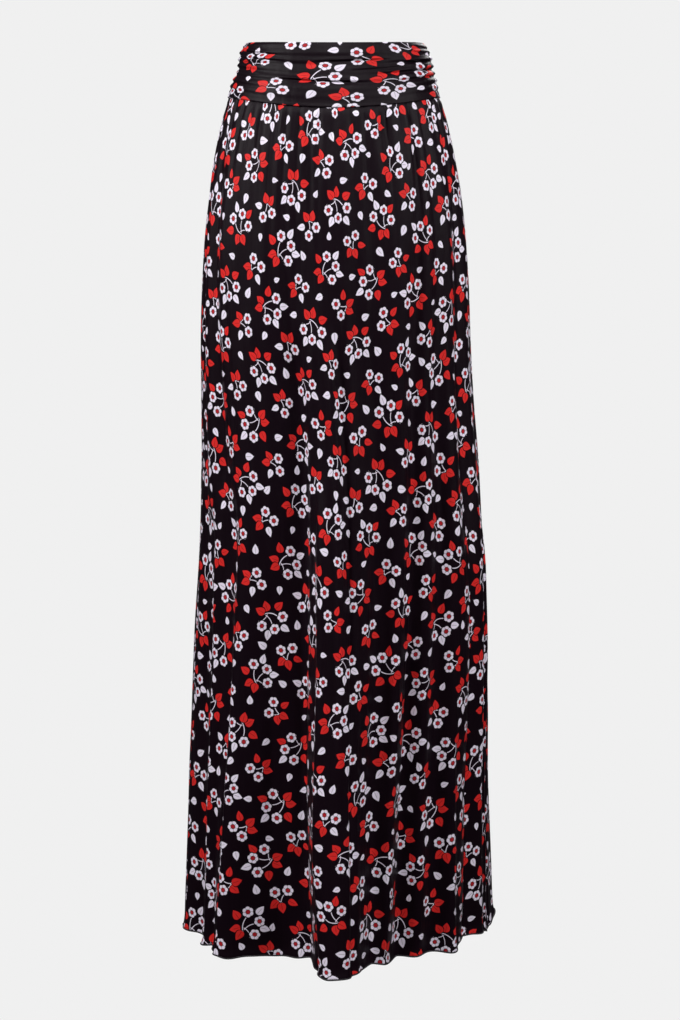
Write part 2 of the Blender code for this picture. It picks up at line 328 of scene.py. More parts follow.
# Short tucks in the band: where one starts and ends across the panel, the height of its two
# ends as a share of the band, its depth in mm
Tuck = namedtuple("Tuck", "start end height_start height_end depth")
FRONT_TUCKS = [Tuck(*row) for row in (
    (0.03, 0.26, 0.86, 0.80, 1.3),
    (0.00, 0.30, 0.74, 0.70, 1.2),
    (0.05, 0.22, 0.62, 0.66, 0.8),
    (0.00, 0.20, 0.48, 0.45, 0.9),
    (0.44, 0.70, 0.70, 0.725, 1.7),
    (0.30, 0.58, 0.41, 0.375, 1.8),
    (0.56, 0.80, 0.56, 0.60, 0.7),
    (0.78, 0.93, 0.665, 0.675, 2.6),
    (0.66, 0.99, 0.49, 0.53, 1.5),
    (0.80, 1.00, 0.84, 0.82, 0.9),
    (0.72, 1.00, 0.36, 0.40, 1.0),
)]
BACK_TUCKS = [Tuck(*row) for row in (
    (0.00, 0.28, 0.86, 0.84, 1.0),
    (0.02, 0.42, 0.72, 0.70, 1.3),
    (0.00, 0.25, 0.60, 0.57, 1.0),
    (0.05, 0.36, 0.46, 0.41, 1.5),
    (0.34, 0.70, 0.56, 0.54, 1.1),
    (0.00, 0.30, 0.34, 0.31, 0.9),
    (0.40, 0.74, 0.29, 0.30, 1.0),
    (0.60, 1.00, 0.73, 0.72, 1.2),
    (0.70, 1.00, 0.60, 0.59, 1.5),
    (0.72, 0.98, 0.46, 0.48, 1.0),
    (0.66, 1.00, 0.36, 0.34, 1.1),
    (0.80, 1.00, 0.85, 0.86, 0.8),
)]

# Points that each ring is measured by, and the bend above which an edge stays sharp
RING_SAMPLES = 1201
SHARP_EDGE = math.radians(70)
# The map for baking: its top edge, its height, how wide its strip of narrow faces is, and the
# share of a place in that strip that a face takes
MAP_TOP = 0.998
MAP_SPAN = 0.996
CAP_WIDTH = 0.0006
CAP_SHARE = 0.8


# ---------------------------------------------------------------- sizes and colours to change
def length_mm(name, description, default, low, high):
    """A length with its limits, all given in mm."""
    return FloatProperty(name=name, description=description, default=default * MM,
                         min=low * MM, max=high * MM, unit="LENGTH")


def dye(name, description, hex_code):
    """A colour, given as sRGB hex."""
    return FloatVectorProperty(name=name, description=description, subtype="COLOR", size=4,
                               min=0, max=1, default=linear_colour(hex_code))


def light_power(name, light, watts):
    """The power of one light."""
    return FloatProperty(name=name, description=f"Power of the {light}", default=watts,
                         min=0, max=500, unit="POWER")


class SkirtSizes(bpy.types.PropertyGroup):
    """Sizes of the cloth and its sewing."""

    cloth: length_mm("Cloth thickness", "Thickness of the skirt's jersey", 0.6, 0.3, 1.4)
    band: length_mm(
        "Band thickness", "Thickness of the doubled jersey in the band", 1.8, 1, 2.2)
    gather: length_mm(
        "Gather depth", "Depth of the gathers under the band, crest to valley", 3.6, 0, 6)
    front_top: length_mm(
        "Front cut, top", "Width that the front panel is cut to at its top", 550, 400, 800)
    front_hem: length_mm(
        "Front cut, hem", "Width that the front panel is cut to at its hem", 700, 500, 1000)
    back_top: length_mm(
        "Back cut, top", "Width that the back panel is cut to at its top", 570, 400, 800)
    back_hem: length_mm(
        "Back cut, hem", "Width that the back panel is cut to at its hem", 800, 500, 1000)
    band_width: length_mm(
        "Band cut, width", "Width that each band piece is cut to", 270, 200, 500)
    band_height: length_mm(
        "Band cut, height", "Height of each band piece before it is ruched", 105, 80, 160)
    roll: length_mm("Hem roll", "Radius of the rolled hem", 1.0, 0.4, 1.5)
    thread: length_mm("Thread", "Radius of the sewing thread", 0.2, 0.1, 0.4)
    wrap_pitch: length_mm(
        "Hem stitch", "Distance from one stitch of the rolled hem to the next", 2.4, 1, 5)
    seam_pitch: length_mm(
        "Seam stitch", "Distance from one stitch of a seam to the next", 3.2, 1.5, 6)
    columns: IntProperty(
        name="Columns", description="Squares across each skirt panel", default=288, min=96, max=300)


class SkirtPrint(bpy.types.PropertyGroup):
    """Colours and scale of the sprigged print."""

    ground: dye("Ground", "Black that the cloth is dyed", "#12060f")
    white: dye("White", "Cool white of the blossoms and loose petals", "#f2e9f9")
    red: dye("Red", "Poppy red of the leaves", "#e02d2b")
    eye: dye("Eye", "Deep red of the blossoms' eyes", "#b3222b")
    reverse: dye("Reverse", "Grey of the cloth's unprinted side", "#3a3438")
    thread: dye("Thread", "Black of the sewing thread", "#1f1b20")
    spacing: length_mm(
        "Sprig spacing", "Distance from one large sprig to the next", 74, 40, 100)
    grain_turn: FloatProperty(
        name="Turn", description="How far the rows of sprigs are turned from the grain",
        default=math.radians(16), min=0, max=math.pi / 2, subtype="ANGLE")


class SkirtStudio(bpy.types.PropertyGroup):
    """Floor, lights and camera."""

    backdrop: dye("Backdrop", "Pale grey of the floor and the backdrop", "#f0f0f0")
    floor_drop: length_mm(
        "Floor", "How far the floor lies below the lowest point of the hem", 120, 0, 1000)
    left_power: light_power("Left light", "large soft light at the left", 78)
    top_power: light_power("Top light", "soft light high in front", 58)
    front_power: light_power("Front light", "soft light at the front right", 13)
    right_power: light_power("Right light", "soft light at the right", 39)
    rim_power: light_power("Back light", "soft light behind", 70)
    fill: FloatProperty(
        name="Fill", description="Brightness of the room round the skirt",
        default=0.03, min=0, max=2)
    lens: FloatProperty(
        name="Lens", description="Focal length of the camera in mm", default=85, min=35, max=200)


# ---------------------------------------------------------------- the form
def column(rows, name):
    """One named column of a table."""
    return np.array([getattr(row, name) for row in rows], dtype=float)


def smooth(knots, values, at):
    """A smooth curve through the knots that never swings past a crest or a valley."""
    step = np.diff(knots)
    slope = np.diff(values) / step
    inner = np.zeros(len(slope) - 1)
    same = slope[:-1] * slope[1:] > 0
    inner[same] = 2 * slope[:-1][same] * slope[1:][same] / (slope[:-1][same] + slope[1:][same])
    tangent = np.concatenate([slope[:1], inner, slope[-1:]])
    cell = np.clip(np.searchsorted(knots, at) - 1, 0, len(step) - 1)
    run = (at - knots[cell]) / step[cell]
    rise = values[cell + 1] - values[cell]
    blend = run * run * (3 - 2 * run)
    lift_start = tangent[cell] * step[cell] * run * (1 - run) ** 2
    lift_end = tangent[cell + 1] * step[cell] * run * run * (run - 1)
    return values[cell] + rise * blend + lift_start + lift_end


def round_the_body(bearings, values, at):
    """The same smooth curve, closed round the body."""
    knots = np.concatenate([bearings[-3:] - 360, bearings, bearings[:3] + 360])
    closed = np.concatenate([values[-3:], values, values[:3]])
    return smooth(knots, closed, at)


def body_ring(bearing, height):
    """Points of the plain body ring at each bearing and height, and their outward directions."""
    heights = column(SECTIONS, "height")[::-1] * MM
    half_width, front_depth, back_depth, shift = (
        smooth(heights, column(SECTIONS, name)[::-1] * MM, height)
        for name in ("half_width", "front_depth", "back_depth", "shift")
    )
    angle = np.radians(bearing)
    depth = np.where(np.cos(angle) > 0, front_depth, back_depth)
    x = shift + half_width * np.sin(angle)
    y = -depth * np.cos(angle)
    out_x = depth * np.sin(angle)
    out_y = -half_width * np.cos(angle)
    length = np.hypot(out_x, out_y)
    return x, y, out_x / length, out_y / length


def edge_height(bearing, at_side, at_middle):
    """Height of an edge that runs from the side seams to the middle of the front or back."""
    return at_side + (at_middle - at_side) * np.cos(np.radians(bearing)) ** 2


def seam_height(bearing):
    """Height of the seam between the skirt and the band."""
    return edge_height(bearing, BAND_SEAM_SIDE, BAND_SEAM_MIDDLE)


def fold_out(bearing, share):
    """How far the folds stand out at a share of the way down the skirt."""
    levels = np.array([0, MIDDLE_SHARE, 1])
    depths = np.array([0, HIP_SHARE, MIDDLE_SHARE, 1])
    bearings = []
    outs = []
    for fold in FOLDS:
        bearings.append(smooth(levels, np.array([fold.top, fold.middle, fold.hem]), share))
        reach = np.array([0, fold.out_hip, fold.out_middle, fold.out_hem])
        outs.append(smooth(depths, reach * MM, share))
    return round_the_body(np.array(bearings).ravel(), np.array(outs).ravel(), bearing)


def skirt_ring(bearing, drop):
    """Points round the skirt at a drop below the band, with its folds."""
    seam = seam_height(bearing) - SEAM_GAP / 2
    hem = HEM - round_the_body(column(FOLDS, "hem"), column(FOLDS, "drop"), bearing) * MM
    share = drop / SKIRT_LENGTH
    height = seam + (hem - seam) * share
    x, y, out_x, out_y = body_ring(bearing, height)
    out = fold_out(bearing, np.array([share]))
    return x + out_x * out, y + out_y * out, height


def band_ring(bearing, share):
    """Points round the band at a share of its height, before its creases."""
    seam = seam_height(bearing) + SEAM_GAP / 2
    top = edge_height(bearing, BAND_TOP_SIDE, BAND_TOP_MIDDLE)
    height = seam + (top - seam) * share
    x, y, _, _ = body_ring(bearing, height)
    return x, y, height


Row = namedtuple("Row", "points outward walked bearing length")


def panel_row(ring, level, is_back, shares):
    """One row of a panel, from seam to seam: its points, their outward directions, how far
    along the cloth and at which bearing each lies."""
    first = 90 if is_back else -90
    bearing = np.linspace(first, first + 180, RING_SAMPLES)
    x, y, height = ring(bearing, level)
    walked = np.concatenate([[0], np.cumsum(np.hypot(np.diff(x), np.diff(y)))])
    along_x = np.gradient(x, walked)
    along_y = np.gradient(y, walked)
    at = SEAM_GAP / 2 + shares * (walked[-1] - SEAM_GAP)
    points = np.stack([np.interp(at, walked, values) for values in (x, y, height)], axis=1)
    outward = np.stack([np.interp(at, walked, along_y), -np.interp(at, walked, along_x)], axis=1)
    outward /= np.linalg.norm(outward, axis=1, keepdims=True)
    outward = np.pad(outward, ((0, 0), (0, 1)))
    return Row(points, outward, at, np.interp(at, walked, bearing), walked[-1])


def rippled(mean, ripples, number):
    """An uneven size for each place, the same on every run."""
    return mean + sum(each.size * np.sin(each.pace * number + each.start) for each in ripples)


def eased(value):
    """0 to 1 with a soft start and end."""
    value = np.clip(value, 0, 1)
    return value * value * (3 - 2 * value)


# ---------------------------------------------------------------- gathers, creases, flutes
def gather_places(shares, is_back):
    """Where each share of a panel lies among its gathers, and the number that makes each
    gather differ from the next."""
    first = GATHERS if is_back else 0
    widths = rippled(1, GATHER_WIDTHS, np.arange(GATHERS) + first)
    edges = np.concatenate([[0], np.cumsum(widths)]) / widths.sum()
    place = np.interp(shares, edges, np.arange(GATHERS + 1))
    return place, place + first - 0.5


def gather_strength(number, drop):
    """Share of a gather's depth at a drop below the band; each runs out at its own length."""
    stepped = rippled(1, GATHER_LENGTHS, np.round(number * 2) / 2)
    length = MEAN_GATHER_LENGTH * (stepped + rippled(1, GATHER_LENGTHS, number)) / 2
    grown = GATHER_AT_SEAM + (1 - GATHER_AT_SEAM) * min(max(drop, 0) / GATHER_FULLEST, 1)
    return grown * np.clip(1 - drop / length, 0, 1) ** GATHER_FADE


def gather_out(place, number, drop, depth):
    """How far the gathers stand out: round crests, and valleys that are sharper."""
    size = rippled(MEAN_GATHER_DEPTH, GATHER_DEPTHS, number)
    wave = 2 * np.abs(np.sin(np.pi * place)) ** GATHER_SHARPNESS - 1
    return wave * size * gather_strength(number, drop) * depth / 2


def soft_creases_out(row, drop, is_back):
    """How far the soft creases move the cloth in or out along one row."""
    first = 90 if is_back else -90
    moved = np.zeros_like(row.walked)
    for crease in SOFT_CREASES:
        if not first < crease.top < first + 180:
            continue
        start = crease.start * MM
        end = crease.end * MM
        grown = CREASE_FADE_IN * max(abs(crease.depth) / PLAIN_CREASE, 1)
        fade = eased((drop - start) / grown) * eased((end - drop) / CREASE_FADE_OUT)
        if fade <= 0:
            continue
        centre = crease.top + (crease.bottom - crease.top) * (drop - start) / (end - start)
        away = row.walked - np.interp(centre, row.bearing, row.walked)
        moved += crease.depth * MM * fade * np.exp(-(away / (crease.half_width * MM)) ** 2)
    return moved


def cloth_shares(row, moved):
    """Where each point of a row lies on its cloth, once its creases have taken theirs up."""
    plain = np.hypot(*np.diff(row.points[:, :2], axis=0).T)
    creases = row.points[:, :2] + row.outward[:, :2] * moved[:, None]
    creased = np.hypot(*np.diff(creases, axis=0).T)
    steps = plain + CREASE_TAKES_UP * np.maximum(creased - plain, 0)
    return np.concatenate([[0], np.cumsum(steps)]) / steps.sum()


def side_fade(walked, length, reach):
    """1 on the panel and 0 at its side seams, so that front and back meet there."""
    return eased(np.minimum(walked, length - walked) / reach)


def hem_flutes(row, drop):
    """Small waves of the stretched hem: how far out and how far down each point goes."""
    from_hem = SKIRT_LENGTH - drop
    near = eased((drop - (SKIRT_LENGTH - FLUTE_HEIGHT)) / FLUTE_HEIGHT) ** 2
    turn = np.radians(row.bearing)
    out, down = (
        sum(each.size * np.sin(each.around * turn + each.start + later) for each in HEM_FLUTES)
        * near * MM for later in (0, FLUTE_LIFT))
    out += HEM_FLARE * max(1 - from_hem / HEM_FLARE_HEIGHT, 0) ** 2
    lifted = max(1 - from_hem / CURL_HEIGHT, 0) ** 2
    for curl in HEM_CURLS:
        away = (row.bearing - curl.bearing + 180) % 360 - 180
        near_curl = np.exp(-(away / curl.half_width) ** 2) * lifted
        out += curl.out * MM * near_curl
        down -= curl.up * MM * near_curl
    return out, down


def sway_out(row, drop):
    """How far the faint sway moves the cloth in or out."""
    turn = np.radians(row.bearing)
    fall = math.tau * drop / SKIRT_LENGTH
    grown = eased(drop / SWAY_GROWN)
    return grown * MM * sum(
        each.size * np.sin(each.around * turn + each.start + np.sin(each.down * fall + each.start))
        for each in SWAYS)


def crease_line(across, left, middle, right):
    """A band crease's height across the panel, through its three given heights."""
    side = 2 * across - 1
    slant = (right - left) / 2
    bow = (right + left) / 2 - middle
    return middle + slant * side + bow * side ** 2


def band_fold(above, depth):
    """A ruched fold seen from its end, in half heights above its crease: the cloth swells over
    the crease and is cut in under it. Gives how far it moves and how much cloth it hides."""
    lip = CREASE_LIP * np.exp(-((above - CREASE_LIP_AT) / CREASE_LIP_WIDTH) ** 2)
    hidden = depth * HIDDEN_CLOTH * eased(above / HIDDEN_SOFTLY + 0.5)
    return np.array([depth * (lip - np.exp(-above ** 2)), hidden])


def band_creases(level, across, is_back):
    """How far the band's creases and tucks move the cloth, and how much cloth they hide."""
    side = 2 * across - 1
    if is_back:
        side = -side
    folded = np.zeros((2, len(across)))
    for crease in CREASES:
        line = crease_line((side + 1) / 2, crease.left, crease.middle, crease.right)
        deep_side = np.where(side < 0, crease.deep_left, crease.deep_right)
        deep = crease.deep_middle + (deep_side - crease.deep_middle) * np.abs(side) ** CREASE_FADE
        folded += band_fold((level - line) / CREASE_HALF_HEIGHT, deep * MM)
    for tuck in BACK_TUCKS if is_back else FRONT_TUCKS:
        along = (across - tuck.start) / (tuck.end - tuck.start)
        line = tuck.height_start + (tuck.height_end - tuck.height_start) * along
        starts, ends = (
            eased((run + TUCK_OVERRUN) / TUCK_RUNS_OUT) for run in (along, 1 - along))
        above = (level - line) / (CREASE_HALF_HEIGHT * TUCK_SHARE)
        folded += band_fold(above, starts * ends * tuck.depth * MM)
    return folded


# ---------------------------------------------------------------- cloth as meshes
Sheet = namedtuple("Sheet", "points outward cloth")


def skirt_sheet(is_back, sizes):
    """The face of a skirt panel: a grid of points, outward directions and places on the cut."""
    shares = np.linspace(0, 1, sizes.columns + 1)
    place, number = gather_places(shares, is_back)
    top_width, hem_width = (
        (sizes.back_top, sizes.back_hem) if is_back else (sizes.front_top, sizes.front_hem))
    rows = []
    for drop in PANEL_ROWS:
        row = panel_row(skirt_ring, drop, is_back, shares)
        at_sides = side_fade(row.walked, row.length, CREASES_END)
        creased = (soft_creases_out(row, drop, is_back) + sway_out(row, drop)) * at_sides
        out = gather_out(place, number, drop, sizes.gather) * at_sides + creased
        out -= SEAM_PULL * (1 - side_fade(row.walked, row.length, SEAM_PULL_WIDTH))
        out -= BAND_PULL * (1 - eased(drop / BAND_PULL_HEIGHT))
        flute_out, flute_down = hem_flutes(row, drop)
        out += flute_out
        points = row.points + row.outward * out[:, None]
        points[:, 2] -= flute_down
        width = top_width + (hem_width - top_width) * drop / SKIRT_LENGTH
        bunched = GATHERED_CLOTH * np.sin(2 * np.pi * place) / (2 * np.pi * GATHERS)
        bunched *= gather_strength(number, drop)
        across = (cloth_shares(row, creased) - 0.5 + bunched) * width
        across += BACK_CUT_AT if is_back else 0
        rows.append((points, row.outward, np.stack([across, np.full_like(shares, -drop)], axis=1)))
    return Sheet(*(np.array(part) for part in zip(*rows)))


def band_sheet(is_back, sizes):
    """The face of a band piece, from its top edge down."""
    shares = np.linspace(0, 1, BAND_COLUMNS + 1)
    rows = []
    for level in np.linspace(1, 0, BAND_ROWS + 1):
        row = panel_row(band_ring, level, is_back, shares)
        moved, hidden = band_creases(level, shares, is_back)
        moved -= BAND_SEAM_PULL * (1 - side_fade(row.walked, row.length, BAND_SEAM_PULL_WIDTH))
        moved *= eased((1 - level) / BAND_TOP_SHARE + BAND_TOP_CREASED)
        moved += BAND_FOOT_OUT * (1 - eased(level / BAND_FOOT_SHARE))
        points = row.points + row.outward * moved[:, None]
        across = (shares - 0.5) * sizes.band_width
        up = level * (sizes.band_height - RUCHED_AWAY) + hidden + BAND_CUT_AT
        rows.append((points, row.outward, np.stack([across, up], axis=1)))
    return Sheet(*(np.array(part) for part in zip(*rows)))


def add_piece(name, data):
    """A mesh, curve, lamp or camera as an object of the scene, at the origin."""
    piece = bpy.data.objects.new(name, data)
    bpy.context.scene.collection.objects.link(piece)
    return piece


def cloth_wall(name, sheet, thickness, materials, rounded_steps=1):
    """A closed cloth wall from its face: the face, a rounded edge, the reverse, a rounded edge.

    The first material is the face's, the second the reverse's. The map called cloth lies in
    metres on the cut; the other is laid out for baking."""
    turns = np.linspace(0, np.pi, rounded_steps + 2)[1:-1]
    face_rows = len(sheet.points)
    last = face_rows - 1
    radius = thickness / 2
    # Each course: the face's row that it lies on, how far in and how far up from it, its kind
    courses = [(row, 0.0, 0.0, "face") for row in range(face_rows)]
    courses += [
        (last, radius * (1 - np.cos(turn)), -radius * np.sin(turn), "edge") for turn in turns]
    courses += [(row, thickness, 0.0, "back") for row in range(last, -1, -1)]
    courses += [(0, radius * (1 + np.cos(turn)), radius * np.sin(turn), "edge") for turn in turns]
    grid = np.array([
        sheet.points[row] - sheet.outward[row] * inset + np.array([0, 0, rise])
        for row, inset, rise, _ in courses])
    rings, width = grid.shape[:2]
    number = np.arange(rings * width).reshape(rings, width)
    following = np.roll(number, -1, axis=0)
    quads = np.stack([number[:, :-1], following[:, :-1], following[:, 1:], number[:, 1:]], axis=-1)
    faces = quads.reshape(-1, 4)
    back_start = face_rows + rounded_steps
    caps = []
    for side in (0, width - 1):
        for row in range(last):
            behind = back_start + last - row
            cap = number[[row, behind, behind - 1, row + 1], side]
            caps.append(cap if side == 0 else cap[::-1])
        for ring in (last, rings - rounded_steps - 1):
            rim = number[(ring + np.arange(rounded_steps + 2)) % rings, side]
            caps.append(rim[::-1] if side == 0 else rim)
    mesh = bpy.data.meshes.new(name)
    mesh.from_pydata(grid.reshape(-1, 3), [], faces.tolist() + [cap.tolist() for cap in caps])
    cloth_u_v = np.array([sheet.cloth[row] for row, _, _, _ in courses]).reshape(-1, 2)
    lay_out_maps(mesh, cloth_u_v, courses, width, len(faces))
    for material in materials:
        mesh.materials.append(material)
    of_ring = np.repeat(np.arange(rings), width - 1)
    slots = np.zeros(len(mesh.polygons), dtype=np.int32)
    slots[:len(faces)] = (of_ring >= back_start) & (of_ring < back_start + last)
    mesh.polygons.foreach_set("material_index", slots)
    mesh.shade_smooth()
    mesh.set_sharp_from_angle(angle=SHARP_EDGE)
    return add_piece(name, mesh)


def lay_out_maps(mesh, cloth_u_v, courses, width, quads):
    """Two maps: cloth, in metres on the cut, and OFBake, which spreads face, reverse and
    edges side by side without overlaps."""
    corners = np.empty(len(mesh.loops), dtype=np.int32)
    mesh.loops.foreach_get("vertex_index", corners)
    kinds = [kind for _, _, _, kind in courses]
    face_rows = kinds.count("face")
    rounded = kinds.count("edge") // 2
    ring, place = np.divmod(np.arange(quads), width - 1)
    steps = np.array([[0, 0], [1, 0], [1, 1], [0, 1]])
    at_ring = ring[:, None] + steps[None, :, 0]
    across = (place[:, None] + steps[None, :, 1]) / (width - 1)
    # Left edge, width, first ring and number of rings of each strip of the baked map
    strips = [(0.002, 0.640, 0, face_rows - 1), (0.646, 0.006, face_rows - 1, rounded + 1),
              (0.656, 0.330, face_rows + rounded, face_rows - 1),
              (0.990, 0.006, 2 * face_rows + rounded - 1, rounded + 1)]
    u, v = np.zeros((2, quads, 4))
    for strip, (left, wide, first, count) in enumerate(strips):
        mine = (ring >= first) & (ring < first + count)
        down = (at_ring[mine] - first) / count
        is_edge = strip % 2 == 1
        u[mine] = left + wide * (down if is_edge else across[mine])
        v[mine] = MAP_TOP - MAP_SPAN * (across[mine] if is_edge else down)
    bake = np.zeros((len(mesh.loops), 2))
    bake[:quads * 4] = np.stack([u, v], axis=-1).reshape(-1, 2)
    fill_caps(mesh, bake, quads)
    for name, u_v in (("cloth", cloth_u_v[corners]), ("OFBake", bake)):
        layer = mesh.uv_layers.new(name=name)
        layer.data.foreach_set("uv", u_v.ravel().astype(np.float32))


def fill_caps(mesh, bake, quads):
    """Places the narrow faces at the seams in a strip of their own at the map's right edge."""
    caps = len(mesh.polygons) - quads
    for at in range(caps):
        loops = mesh.polygons[quads + at].loop_indices
        low = MAP_TOP - MAP_SPAN + MAP_SPAN * at / caps
        for corner, loop in enumerate(loops):
            is_right = corner * 2 >= len(loops)
            is_high = 0 < corner < len(loops) - 1
            bake[loop] = (MAP_TOP + CAP_WIDTH * is_right, low + CAP_SHARE / caps * is_high)


# ---------------------------------------------------------------- materials
def add_node(tree, kind, inputs=(), out=0, **settings):
    """Adds a node with its settings and gives one of its outputs. Each input, in order or by
    name, is a value or the output that it is linked from."""
    made = tree.nodes.new(kind)
    for name, value in settings.items():
        setattr(made, name, value)
    for name, value in (inputs.items() if isinstance(inputs, dict) else enumerate(inputs)):
        if isinstance(value, bpy.types.NodeSocket):
            tree.links.new(value, made.inputs[name])
        else:
            made.inputs[name].default_value = value
    return made.outputs[out] if made.outputs else None


def new_tree(name, family, gives, sockets):
    """An empty node tree that gives one thing, a way to add its nodes, and what it is given.
    Each socket is its name, its kind and, where it has one, its default."""
    tree = bpy.data.node_groups.new(name, family + "NodeTree")
    for way, rows in (("INPUT", sockets), ("OUTPUT", [(gives, gives)])):
        for socket, kind, *default in rows:
            made = tree.interface.new_socket(socket, in_out=way, socket_type="NodeSocket" + kind)
            for value in default:
                made.default_value = value
    return tree, partial(add_node, tree), tree.nodes.new("NodeGroupInput").outputs


def own_nodes(owner):
    """Clears the nodes of a new material or world, and gives a way to add its own."""
    owner.use_nodes = True
    owner.node_tree.nodes.clear()
    return partial(add_node, owner.node_tree)


def inked(node, under, ink, *edges, strength=None):
    """Ink laid over what is under it, within soft edges: each is a value, where along it the
    ink starts and where it is full. A strength thins the ink all over."""
    amounts = [node("ShaderNodeMapRange", edge, interpolation_type="SMOOTHSTEP") for edge in edges]
    if strength is not None:
        amounts.append(strength)
    amount = amounts[0]
    for other in amounts[1:]:
        amount = node("ShaderNodeMath", (amount, other), operation="MULTIPLY")
    return node("ShaderNodeMix", {"Factor": amount, "A": under, "B": ink}, "Result",
                data_type="RGBA")


PETALS = 6
STEM_ARCH = 0.3
# Leaves that change are white up to this chance, and red above it
STAYS_WHITE = 0.59
# What each motif is drawn from: its own place, what is under it, its tint and a leaf's width
MOTIF_SOCKETS = [("Vector", "Vector"), ("Under", "Color"), ("Tint", "Color"), ("Width", "Float")]


def blossom_group(ground, eye):
    """A plain six-petalled blossom of radius 1, with hairlines between its petals."""
    tree, node, given = new_tree("Blossom", "Shader", "Color", MOTIF_SOCKETS)
    x, y, _ = node("ShaderNodeSeparateXYZ", (given["Vector"],)).node.outputs
    radius = node("ShaderNodeVectorMath", (given["Vector"],), "Value", operation="LENGTH")
    turn = node("ShaderNodeMath", (y, x), operation="ARCTAN2")
    turn = node("ShaderNodeMath", (turn, PETALS / 2), operation="MULTIPLY")
    wave = node("ShaderNodeMath", (turn,), operation="COSINE")
    lobe = node("ShaderNodeMath", (wave,), operation="ABSOLUTE")
    # The rim swells from 0.85 between two petals to 1.02 at the middle of one
    edge = node("ShaderNodeMath", (lobe, 0.17, 0.85), operation="MULTIPLY_ADD")
    inside = node("ShaderNodeMath", (edge, radius), operation="SUBTRACT")
    # The petals join again beyond their hairlines, near the rim
    apart = node("ShaderNodeMath", (radius, lobe), operation="MULTIPLY")
    petal, rim = (
        node("ShaderNodeMapRange", span, interpolation_type="SMOOTHSTEP")
        for span in ((apart, 0.03, 0.12), (radius, 0.62, 0.82)))
    whole = node("ShaderNodeMath", (petal, rim), operation="MAXIMUM")
    # A dark outline, the petals, a dark ring and the eye, each over the last
    colour = inked(node, given["Under"], ground, (inside, -0.2, -0.12))
    colour = inked(node, colour, given["Tint"], (inside, 0.0, 0.07), strength=whole)
    colour = inked(node, colour, ground, (radius, 0.47, 0.41))
    colour = inked(node, colour, eye, (radius, 0.38, 0.31))
    node("NodeGroupOutput", (colour,))
    return tree


def leaf_group(ground):
    """A leaf or petal, 2 long: round at its foot, pointed at its tip, with a faint rib."""
    tree, node, given = new_tree("Leaf", "Shader", "Color", MOTIF_SOCKETS)
    x, along, _ = node("ShaderNodeSeparateXYZ", (given["Vector"],)).node.outputs
    across = node("ShaderNodeMath", (x,), operation="ABSOLUTE")
    from_tip = node("ShaderNodeMath", (1.0, along), operation="SUBTRACT")
    from_foot = node("ShaderNodeMath", (1.0, along), operation="ADD")
    ends = node("ShaderNodeMath", (from_tip, from_foot), operation="MINIMUM")
    foot = node("ShaderNodeMath", (from_foot, 0.0), operation="MAXIMUM")
    foot = node("ShaderNodeMath", (foot, 0.5), operation="POWER")
    wide = node("ShaderNodeMath", (from_tip, foot), operation="MULTIPLY")
    wide = node("ShaderNodeMath", (wide, given["Width"]), operation="MULTIPLY")
    inside = node("ShaderNodeMath", (wide, across), operation="SUBTRACT")
    inside = node("ShaderNodeMath", (inside, ends), operation="MINIMUM")
    # A dark outline, the leaf, and a rib that fades before it reaches the edge
    colour = inked(node, given["Under"], ground, (inside, -0.17, -0.1))
    colour = inked(node, colour, given["Tint"], (inside, 0.0, 0.07))
    colour = inked(node, colour, ground, (across, 0.075, 0.03), (from_tip, 0.5, 0.9),
                   (inside, 0.1, 0.25), strength=0.45)
    node("NodeGroupOutput", (colour,))
    return tree


def stem_group():
    """A thin arched stem, 2 long."""
    tree, node, given = new_tree("Stem", "Shader", "Color", MOTIF_SOCKETS)
    x, y, _ = node("ShaderNodeSeparateXYZ", (given["Vector"],)).node.outputs
    squared = node("ShaderNodeMath", (x, x), operation="MULTIPLY")
    arch = node("ShaderNodeMath", (squared, STEM_ARCH, y), operation="MULTIPLY_ADD")
    away = node("ShaderNodeMath", (arch, STEM_ARCH / 2), operation="SUBTRACT")
    away = node("ShaderNodeMath", (away,), operation="ABSOLUTE")
    away = node("ShaderNodeMath", (away, given["Width"]), operation="SUBTRACT")
    from_middle = node("ShaderNodeMath", (x,), operation="ABSOLUTE")
    colour = inked(node, given["Under"], given["Tint"], (away, 0.03, -0.01),
                   (from_middle, 1.0, 0.95))
    node("NodeGroupOutput", (colour,))
    return tree


# One motif of a sprig: its kind, place in mm from the sprig's middle, turn in degrees, half
# its length in mm, its tint, and half the width of a leaf or stem as a share of its length
Motif = namedtuple("Motif", "kind x y turn size tint width", defaults=(0,))
LARGE_SPRIG = [Motif(*row) for row in (
    ("stem", -3, -3, 115, 11, "white", 0.035),
    ("stem", 5, 0, 65, 10, "white", 0.035),
    ("stem", 7, -9, -15, 7, "white", 0.05),
    ("leaf", -6.5, -15.5, 145, 6.3, "red", 0.72),
    ("leaf", 2.5, -18.0, 190, 6.3, "red", 0.72),
    ("leaf", -17.0, -3.0, 80, 6.2, "red", 0.72),
    ("leaf", -1.0, 20.0, 5, 6.3, "white", 0.62),
    ("leaf", 18.5, 8.0, -60, 6.2, "swapped", 0.64),
    ("blossom", -9.5, 8.5, 20, 6.5, "white"),
    ("blossom", 7.5, 10.0, 65, 6.3, "white"),
    ("blossom", 14.5, -5.0, 40, 6.3, "white"),
)]
SMALL_SPRIG = [Motif(*row) for row in (
    ("stem", 1, -1, 60, 9, "white", 0.04),
    ("stem", -4, -3, 130, 8, "white", 0.045),
    ("leaf", -10.0, -8.5, 130, 6.2, "red", 0.72),
    ("leaf", -1.5, -13.0, 185, 6.2, "red", 0.72),
    ("leaf", 11.5, -7.0, -115, 6.0, "swapped", 0.62),
    ("blossom", 6.5, 7.0, 0, 6.4, "white"),
    ("blossom", -8.0, 5.5, 30, 6.3, "white"),
)]
LOOSE_PETAL = [Motif("leaf", 0, 0, 0, 5.5, "white", 0.66)]

